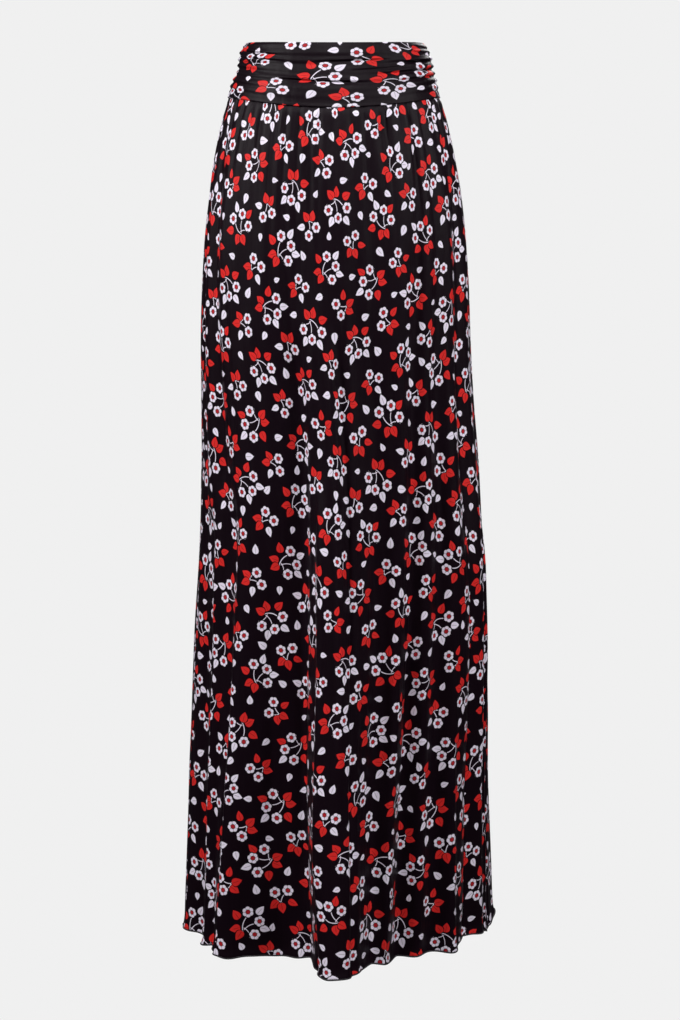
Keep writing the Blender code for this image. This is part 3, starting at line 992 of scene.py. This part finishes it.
# How each sprig is scattered: spacing as a share of the large sprigs', turn of its rows in
# degrees, shift of its rows in cells, how far each strays in mm, what each mm of the cloth is
# in the sprig's own table, and by what share that varies
Scatter = namedtuple("Scatter", "name motifs spacing turn shift stray size vary")
SCATTERS = [
    Scatter("Loose petal", LOOSE_PETAL, 0.7071, 45, (0.0, 0.0), 4.5, 0.96, 0.20),
    Scatter("Small sprig", SMALL_SPRIG, 1.0, 0, (0.5, 0.5), 3.3, 0.94, 0.055),
    Scatter("Large sprig", LARGE_SPRIG, 1.0, 0, (0.0, 0.0), 2.7, 0.94, 0.055),
]


def sprig_group(name, motifs, shapes, colours):
    """One sprig in mm round its middle; chance swaps the tint of its changing leaves."""
    tree, node, given = new_tree(
        name, "Shader", "Color", [("Vector", "Vector"), ("Under", "Color"), ("Chance", "Float")])
    swap = node("ShaderNodeMath", (given["Chance"], STAYS_WHITE), operation="GREATER_THAN")
    tints = {**colours, "swapped": inked(node, colours["white"], colours["red"], strength=swap)}
    colour = given["Under"]
    for motif in motifs:
        place = node("ShaderNodeMapping", {
            "Vector": given["Vector"], "Location": (motif.x, motif.y, 0),
            "Rotation": (0, 0, math.radians(motif.turn)), "Scale": (motif.size,) * 3},
            vector_type="TEXTURE")
        colour = node("ShaderNodeGroup", {
            "Vector": place, "Under": colour, "Tint": tints[motif.tint], "Width": motif.width},
            node_tree=shapes[motif.kind])
    node("NodeGroupOutput", (colour,))
    return tree


def print_group(prints):
    """The all-over print, in metres on the cloth: sprigs and loose petals in turned rows."""
    colours = {"white": prints.white, "red": prints.red}
    shapes = {
        "blossom": blossom_group(prints.ground, prints.eye),
        "leaf": leaf_group(prints.ground),
        "stem": stem_group(),
    }
    tree, node, given = new_tree("Sprigged print", "Shader", "Color", [("Vector", "Vector")])
    colour = prints.ground
    for scatter in SCATTERS:
        cell = prints.spacing * scatter.spacing
        spread = node("ShaderNodeMapping", {
            "Vector": given["Vector"], "Location": (*scatter.shift, 0),
            "Rotation": (0, 0, prints.grain_turn + math.radians(scatter.turn)),
            "Scale": (1 / cell, 1 / cell, 0)}, vector_type="POINT")
        corner = node("ShaderNodeVectorMath", (spread,), operation="FLOOR")
        inside = node("ShaderNodeVectorMath", (spread,), operation="FRACTION")
        noise = node("ShaderNodeTexWhiteNoise", {"Vector": corner}, noise_dimensions="3D").node
        chance, chances = noise.outputs
        # Each sprig's place in its cell, its turn and its size go by chance
        local, stray = (
            node("ShaderNodeVectorMath", (part, (width, width, 0), (-width / 2, -width / 2, 0)),
                 operation="MULTIPLY_ADD")
            for part, width in ((inside, cell / MM), (chances, 2 * scatter.stray)))
        place = node("ShaderNodeVectorMath", (local, stray), operation="ADD")
        turn = node("ShaderNodeMath", (chance, math.tau), operation="MULTIPLY")
        place = node("ShaderNodeVectorRotate", {"Vector": place, "Angle": turn},
                     rotation_type="Z_AXIS")
        third = node("ShaderNodeSeparateXYZ", (chances,), "Z")
        size = node("ShaderNodeMapRange", {
            "Value": third, "To Min": scatter.size - scatter.vary,
            "To Max": scatter.size + scatter.vary})
        place = node("ShaderNodeVectorMath", {0: place, "Scale": size}, operation="SCALE")
        colour = node("ShaderNodeGroup", {"Vector": place, "Under": colour, "Chance": chance},
                      node_tree=sprig_group(scatter.name, scatter.motifs, shapes, colours))
    node("NodeGroupOutput", (colour,))
    return tree


def jersey(name, prints, print_tree, strength, is_reverse=False):
    """Printed viscose jersey: fine upright ribs of knit, a soft silky sheen and faint drag
    lines. The reverse is the unprinted side, where the print shows through greyly."""
    node = own_nodes(bpy.data.materials.new(name))
    cloth = node("ShaderNodeUVMap", uv_map="cloth")
    colour = node("ShaderNodeGroup", (cloth,), node_tree=print_tree)
    # Dye takes a little unevenly, in patches of about 25 mm; a strength under 1 darkens the whole
    # print as painted shade
    patches = node("ShaderNodeTexNoise", {"Vector": cloth, "Scale": 40.0, "Detail": 2.0})
    worn = node("ShaderNodeMapRange", {
        "Value": patches, "To Min": 0.90 * strength, "To Max": 1.06 * strength})
    colour = node("ShaderNodeVectorMath", {0: colour, "Scale": worn}, operation="SCALE")
    if is_reverse:
        colour = inked(node, colour, prints.reverse, strength=0.62)
    # Knit ribs are 0.7 mm apart and their loops 0.55 mm; they are drawn twice as coarse, to show
    split = node("ShaderNodeSeparateXYZ", (cloth,)).node
    turns = [
        node("ShaderNodeMath", (split.outputs[way], math.tau / pitch), operation="MULTIPLY")
        for way, pitch in (("X", 1.4 * MM), ("Y", 1.1 * MM))]
    ribs, loops = (node("ShaderNodeMath", (turn,), operation="SINE") for turn in turns)
    knit = node("ShaderNodeMath", (loops, 0.4, ribs), operation="MULTIPLY_ADD")
    # Drag lines hang down the cloth, about 5 mm wide and 80 mm long
    stretched = node("ShaderNodeMapping", {"Vector": cloth, "Scale": (190, 12, 1)})
    drag = node("ShaderNodeTexNoise", {"Vector": stretched, "Scale": 1.0, "Detail": 1.0})
    height = node("ShaderNodeMath", (drag, 14.0, knit), operation="MULTIPLY_ADD")
    bump = node("ShaderNodeBump", {"Height": height, "Distance": 0.03 * MM, "Strength": 1.0})
    silky = node("ShaderNodeMapRange", {"Value": drag, "To Min": 0.38, "To Max": 0.50})
    surface = node("ShaderNodeBsdfPrincipled", {
        "Base Color": colour, "Roughness": silky, "Normal": bump, "Specular IOR Level": 0.1,
        "Sheen Weight": 0.012, "Sheen Roughness": 0.4})
    node("ShaderNodeOutputMaterial", {"Surface": surface})


def sewing_thread(name, prints):
    """Spun polyester thread: matt, with the slant of its twist in its bump and as painted shade and
    highlight.
    """
    node = own_nodes(bpy.data.materials.new(name))
    place = node("ShaderNodeTexCoord", out="Object")
    # The thread's twist is 0.5 mm a turn; its slanted bands are drawn 1.1 mm apart, to show. They
    # raise the bump, and lighten and darken the colour as painted highlight and shade on the plies
    twist = node("ShaderNodeTexWave", {"Vector": place, "Scale": 320.0, "Distortion": 1.5},
                 "Fac", wave_type="BANDS", bands_direction="DIAGONAL")
    painted_twist_shade = node("ShaderNodeMapRange", {"Value": twist, "To Min": 0.7, "To Max": 1.3})
    colour = node("ShaderNodeVectorMath", {0: prints.thread[:3], "Scale": painted_twist_shade},
                  operation="SCALE")
    bump = node("ShaderNodeBump", {"Height": twist, "Distance": 0.05 * MM, "Strength": 0.6})
    surface = node("ShaderNodeBsdfPrincipled", {
        "Base Color": colour, "Normal": bump, "Roughness": 0.7})
    node("ShaderNodeOutputMaterial", {"Surface": surface})


def finishes(*names):
    """The finishes of these names; all are made at the first call and shared by the pieces."""
    if names[0] not in bpy.data.materials:
        prints = bpy.context.scene.skirt_print
        print_tree = print_group(prints)
        jersey("viscose_jersey_printed", prints, print_tree, 1.0)
        # A copy for the band, darkened all over as painted shade, since the band catches more of
        # the lights
        jersey("viscose_jersey_stretched", prints, print_tree, 0.87)
        jersey("viscose_jersey_reverse", prints, print_tree, 1.0, is_reverse=True)
        sewing_thread("polyester_thread", prints)
    return [bpy.data.materials[name] for name in names]


# ---------------------------------------------------------------- sewing
# Steps round a ring of thread, along a bar, round the thread and round the rolled edge; and how
# far a bar's middle stands up
RING_SIDES = 10
BAR_SIDES = 6
THREAD_SIDES = 5
ROLL_SIDES = 8
BAR_RISE = 0.4 * MM


def stitch_tree(name, loop_shape):
    """Geometry Nodes that lay stitches along a path: a stitch each pitch, turned along the
    path. Stitches are bars, or rings round a roll of the radius Core. Slant is how far they
    lean across the path, and Uneven how much that strays, in radians."""
    tree, node, given = new_tree(name, "Geometry", "Geometry", [
        ("Geometry", "Geometry"), ("Pitch", "Float", 3 * MM), ("Thread", "Float", 0.2 * MM),
        ("Loop", "Float", 1 * MM), ("Core", "Float", 0.0), ("Slant", "Float", 0.4),
        ("Uneven", "Float", 0.12), ("Seed", "Int", 7), ("Material", "Material")])
    spaced = node("GeometryNodeResampleCurve", {
        "Curve": given["Geometry"], "Length": given["Pitch"]}, mode="LENGTH")
    tangent = node("GeometryNodeInputTangent")
    aim = node("FunctionNodeAlignRotationToVector", {"Vector": tangent}, axis="Z")
    least = node("ShaderNodeMath", (given["Uneven"], -1.0), operation="MULTIPLY")
    stray = node("FunctionNodeRandomValue", {
        "Min": least, "Max": given["Uneven"], "Seed": given["Seed"]}, "Value", data_type="FLOAT")
    lean = node("ShaderNodeMath", (given["Slant"], stray), operation="ADD")
    lean = node("ShaderNodeCombineXYZ", (lean,))
    leaned = node("FunctionNodeRotateRotation", (aim, lean), rotation_space="LOCAL")
    if loop_shape == "ring":
        loop = node("GeometryNodeCurvePrimitiveCircle", {
            "Resolution": RING_SIDES, "Radius": given["Loop"]}, mode="RADIUS")
    else:
        reach = node("ShaderNodeCombineXYZ", {"Y": given["Loop"]})
        back = node("ShaderNodeVectorMath", {0: reach, "Scale": -1.0}, operation="SCALE")
        loop = node("GeometryNodeCurveArc", {
            "Resolution": BAR_SIDES, "Start": back, "End": reach, "Middle": (0, 0, BAR_RISE)},
            mode="POINTS")
    section = node("GeometryNodeCurvePrimitiveCircle", {
        "Resolution": THREAD_SIDES, "Radius": given["Thread"]}, mode="RADIUS")
    stitch = node("GeometryNodeCurveToMesh", {
        "Curve": loop, "Profile Curve": section, "Fill Caps": True})
    sewn = node("GeometryNodeInstanceOnPoints", {
        "Points": spaced, "Instance": stitch, "Rotation": leaned})
    sewn = node("GeometryNodeRealizeInstances", (sewn,))
    if loop_shape == "ring":
        section = node("GeometryNodeCurvePrimitiveCircle", {
            "Resolution": ROLL_SIDES, "Radius": given["Core"]}, mode="RADIUS")
        roll = node("GeometryNodeCurveToMesh", {
            "Curve": given["Geometry"], "Profile Curve": section, "Fill Caps": True})
        sewn = node("GeometryNodeJoinGeometry", (sewn,))
        tree.links.new(roll, sewn.node.inputs[0])
    sewn = node("GeometryNodeSetMaterial", {"Geometry": sewn, "Material": given["Material"]})
    node("NodeGroupOutput", (sewn,))
    return tree


def sew(name, cloth, points, tree, **settings):
    """Stitches along points as a plain mesh, hung on the cloth that they are sewn into."""
    curve = bpy.data.curves.new(name, "CURVE")
    curve.dimensions = "3D"
    spline = curve.splines.new("POLY")
    spline.points.add(len(points) - 1)
    spline.points.foreach_set("co", np.pad(points, ((0, 0), (0, 1)), constant_values=1).ravel())
    path = add_piece(name + "_path", curve)
    modifier = path.modifiers.new("Stitches", "NODES")
    modifier.node_group = tree
    settings["Material"], = finishes("polyester_thread")
    for socket in tree.interface.items_tree:
        if socket.in_out == "INPUT" and socket.name in settings:
            modifier[socket.identifier] = settings[socket.name]
    evaluated = path.evaluated_get(bpy.context.evaluated_depsgraph_get())
    mesh = bpy.data.meshes.new_from_object(evaluated)
    mesh.name = name
    mesh.shade_smooth()
    bpy.data.objects.remove(path)
    piece = add_piece(name, mesh)
    piece.parent = bpy.data.objects[cloth]


def finish_cloth(piece, node):
    """Hangs a cloth on the part's one body, in place of its solid."""
    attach(piece, "root")
    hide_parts(node)


# ---------------------------------------------------------------- operators
SIDES = ("front", "back")


class SKIRT_OT_panels(bpy.types.Operator):
    """Makes the front and back skirt panels with their folds, gathers and creases"""

    bl_idname = "skirt.panels"
    bl_label = "Skirt panels"

    def execute(self, context):
        sizes = context.scene.skirt_sizes
        cuts = ((sizes.front_top, sizes.front_hem), (sizes.back_top, sizes.back_hem))
        for side, (top, hem) in zip(SIDES, cuts):
            sheet = skirt_sheet(side == "back", sizes)
            materials = finishes("viscose_jersey_printed", "viscose_jersey_reverse")
            piece = cloth_wall(f"skirt_{side}_cloth", sheet, sizes.cloth, materials)
            finish_cloth(piece, f"skirt_{side}")
        return {"FINISHED"}


class SKIRT_OT_band(bpy.types.Operator):
    """Makes the front and back of the ruched waistband"""

    bl_idname = "skirt.band"
    bl_label = "Waistband"

    def execute(self, context):
        sizes = context.scene.skirt_sizes
        for side in SIDES:
            sheet = band_sheet(side == "back", sizes)
            # The band's jersey is the copy darkened all over as painted shade
            materials = finishes("viscose_jersey_stretched", "viscose_jersey_reverse")
            piece = cloth_wall(
                f"waistband_{side}_cloth", sheet, sizes.band, materials, rounded_steps=5)
            finish_cloth(piece, f"waistband_{side}")
        return {"FINISHED"}


class SKIRT_OT_hem(bpy.types.Operator):
    """Sews the rolled hem: a thin dark roll wrapped in thread, along both panels"""

    bl_idname = "skirt.hem"
    bl_label = "Rolled hem"

    def execute(self, context):
        sizes = context.scene.skirt_sizes
        tree = stitch_tree("Rolled hem stitches", "ring")
        for side in SIDES:
            sheet = skirt_sheet(side == "back", sizes)
            line = sheet.points[-1] - sheet.outward[-1] * sizes.cloth / 2
            sew(f"hem_roll_{side}", f"skirt_{side}_cloth", line, tree, Pitch=sizes.wrap_pitch,
                Thread=sizes.thread, Loop=sizes.roll, Core=sizes.roll, Slant=0.5, Uneven=0.1,
                Seed=3)
        return {"FINISHED"}


class SKIRT_OT_seams(bpy.types.Operator):
    """Sews the side seams and the seam under the band"""

    bl_idname = "skirt.seams"
    bl_label = "Seams"

    def execute(self, context):
        sizes = context.scene.skirt_sizes
        front, back = (skirt_sheet(side == "back", sizes) for side in SIDES)
        thread = {"Thread": sizes.thread, "Uneven": 0.15, "Seed": 11}
        tree = stitch_tree("Seam stitches", "bar")
        for side, end in (("left", 0), ("right", -1)):
            # A side seam is sewn from the hem up, and stops two rows short of each end
            line = front.points[::-1, end] - front.outward[::-1, end] * sizes.cloth / 2
            sew(f"side_seam_{side}", "skirt_front_cloth", line[2:-2], tree,
                Pitch=sizes.seam_pitch, Loop=0.9 * MM, Slant=0.0, **thread)
        tree = stitch_tree("Waist seam stitches", "ring")
        for side, sheet in zip(SIDES, (front, back)):
            line = sheet.points[0] - sheet.outward[0] * sizes.cloth / 2
            sew(f"waist_seam_{side}", f"skirt_{side}_cloth", line, tree,
                Pitch=1.6 * MM, Loop=0.3 * MM, Core=0.3 * MM, Slant=0.5, **thread)
        return {"FINISHED"}


class SKIRT_OT_studio(bpy.types.Operator):
    """Sets a pale floor, soft studio lights and the camera"""

    bl_idname = "skirt.studio"
    bl_label = "Studio"

    def execute(self, context):
        studio = context.scene.skirt_studio
        make_floor(studio)
        make_lights(studio)
        make_camera(studio)
        return {"FINISHED"}


# ---------------------------------------------------------------- studio
# The floor: corners of each of its rings, how far it is flat, and the radius, turn and rings of
# the bend at its rim, in metres and radians
FLOOR_STEPS = 96
FLOOR_FLAT = 4
RIM = 3
RIM_TURN = (0.15, 1.3)
RIM_RINGS = 10
# Where the camera stands, in metres, and how many degrees it looks down
CAMERA_PLACE = (0.005, -3.0, -0.1759)
CAMERA_DOWN = 7


def make_floor(studio):
    """A wide pale floor that rises softly at its rim, so that no edge shows."""
    lowest = CAD_BOX[0].z - studio.floor_drop
    # Rings of the floor: how far out each lies and how high, in metres
    rings = [(reach, 0.0) for reach in range(1, FLOOR_FLAT + 1)]
    for turn in np.linspace(*RIM_TURN, RIM_RINGS):
        rings.append((FLOOR_FLAT + RIM * math.sin(turn), RIM - RIM * math.cos(turn)))
    points = [(0, 0, lowest)]
    faces = []
    for number, (reach, rise) in enumerate(rings):
        for step in range(FLOOR_STEPS):
            turn = math.tau * step / FLOOR_STEPS
            points.append((reach * math.cos(turn), reach * math.sin(turn), lowest + rise))
            outer = [1 + number * FLOOR_STEPS + at % FLOOR_STEPS for at in (step, step + 1)]
            inner = [corner - FLOOR_STEPS for corner in reversed(outer)] if number else [0]
            faces.append(outer + inner)
    mesh = bpy.data.meshes.new("floor")
    mesh.from_pydata(points, [], faces)
    mesh.shade_smooth()
    paper = bpy.data.materials.new("seamless_paper")
    paper_nodes(own_nodes(paper), studio)
    mesh.materials.append(paper)
    floor = add_piece("floor", mesh)


def shown_and_lit(node, kind, studio):
    """The backdrop's grey as the camera sees it, and much dimmer as it lights the skirt."""
    seen = node("ShaderNodeLightPath", out="Is Camera Ray")
    dim, shown = (
        node(kind, {"Color": studio.backdrop, "Strength": strength})
        for strength in (studio.fill, 1.0))
    return node("ShaderNodeMixShader", (seen, dim, shown))


def paper_nodes(node, studio):
    """Matt seamless paper, evenly lit, so that no shadow stands out; clear from below."""
    under = node("ShaderNodeNewGeometry", out="Backfacing")
    clear = node("ShaderNodeBsdfTransparent")
    paper = shown_and_lit(node, "ShaderNodeEmission", studio)
    paper = node("ShaderNodeMixShader", (under, paper, clear))
    node("ShaderNodeOutputMaterial", {"Surface": paper})


# Soft lights: where each stands and what it faces, in metres, and its width and height
Light = namedtuple("Light", "name power_of place faces width height")
LIGHTS = [
    Light("left_light", "left_power", (-2.45, -1.0, 1.35), (0.0, 0.0, 0.5), 1.2, 1.4),
    Light("top_light", "top_power", (0.0, -2.4, 2.0), (0.0, 0.0, 0.3), 1.4, 1.0),
    Light("front_light", "front_power", (1.6, -2.2, 1.2), (0.0, 0.0, 0.4), 1.2, 1.2),
    Light("right_light", "right_power", (2.45, -1.0, 1.1), (0.0, 0.0, 0.4), 1.0, 1.4),
    Light("back_light", "rim_power", (0.6, 2.5, 1.45), (0.0, 0.0, -0.2), 1.8, 1.4),
]


def make_lights(studio):
    """Soft area lights, and a pale room that lights the skirt less than it shows."""
    for light in LIGHTS:
        data = bpy.data.lights.new(light.name, "AREA")
        data.shape = "RECTANGLE"
        data.size = light.width
        data.size_y = light.height
        data.energy = getattr(studio, light.power_of)
        lamp = add_piece(light.name, data)
        lamp.location = light.place
        x, y, z = np.array(light.faces) - np.array(light.place)
        lamp.rotation_euler = (math.atan2(math.hypot(x, y), -z), 0, math.atan2(-x, y))
        lamp.visible_camera = False
    world = bpy.data.worlds.new("pale_room")
    bpy.context.scene.world = world
    node = own_nodes(world)
    room = shown_and_lit(node, "ShaderNodeBackground", studio)
    node("ShaderNodeOutputWorld", {"Surface": room})
    bpy.context.scene.view_settings.view_transform = "Standard"


def make_camera(studio):
    """The camera: in front at the height of the hips, looking down to the skirt's middle."""
    data = bpy.data.cameras.new("camera")
    data.lens = studio.lens
    data.sensor_width = 36
    camera = add_piece("camera", data)
    camera.location = CAMERA_PLACE
    camera.rotation_euler = (math.radians(90 - CAMERA_DOWN), 0, 0)
    bpy.context.scene.camera = camera


# ---------------------------------------------------------------- panel and registration
OPERATORS = [SKIRT_OT_studio, SKIRT_OT_panels, SKIRT_OT_band, SKIRT_OT_hem, SKIRT_OT_seams]


class SKIRT_PT_sidebar(bpy.types.Panel):
    """Lists the skirt's pieces and their sizes"""

    bl_label = "Printed maxi skirt"
    bl_idname = "SKIRT_PT_sidebar"
    bl_space_type = "VIEW_3D"
    bl_region_type = "UI"
    bl_category = "Skirt"

    def draw(self, context):
        for operator in OPERATORS:
            self.layout.operator(operator.bl_idname)
        for group in GROUPS:
            box = self.layout.box()
            settings = getattr(context.scene, group)
            for name in settings.bl_rna.properties.keys():
                if name not in ("rna_type", "name"):
                    box.prop(settings, name)


GROUPS = {"skirt_sizes": SkirtSizes, "skirt_print": SkirtPrint, "skirt_studio": SkirtStudio}


def register():
    for each in (*GROUPS.values(), *OPERATORS, SKIRT_PT_sidebar):
        bpy.utils.register_class(each)
    for name, group in GROUPS.items():
        setattr(bpy.types.Scene, name, PointerProperty(type=group))


def unregister():
    for name in GROUPS:
        delattr(bpy.types.Scene, name)
    for each in (SKIRT_PT_sidebar, *reversed(OPERATORS), *GROUPS.values()):
        bpy.utils.unregister_class(each)


def main():
    """Makes the studio and every piece in order."""
    register()
    bpy.ops.skirt.studio()
    bpy.ops.skirt.panels()
    bpy.ops.skirt.band()
    bpy.ops.skirt.hem()
    bpy.ops.skirt.seams()


if __name__ == "__main__":
    main()
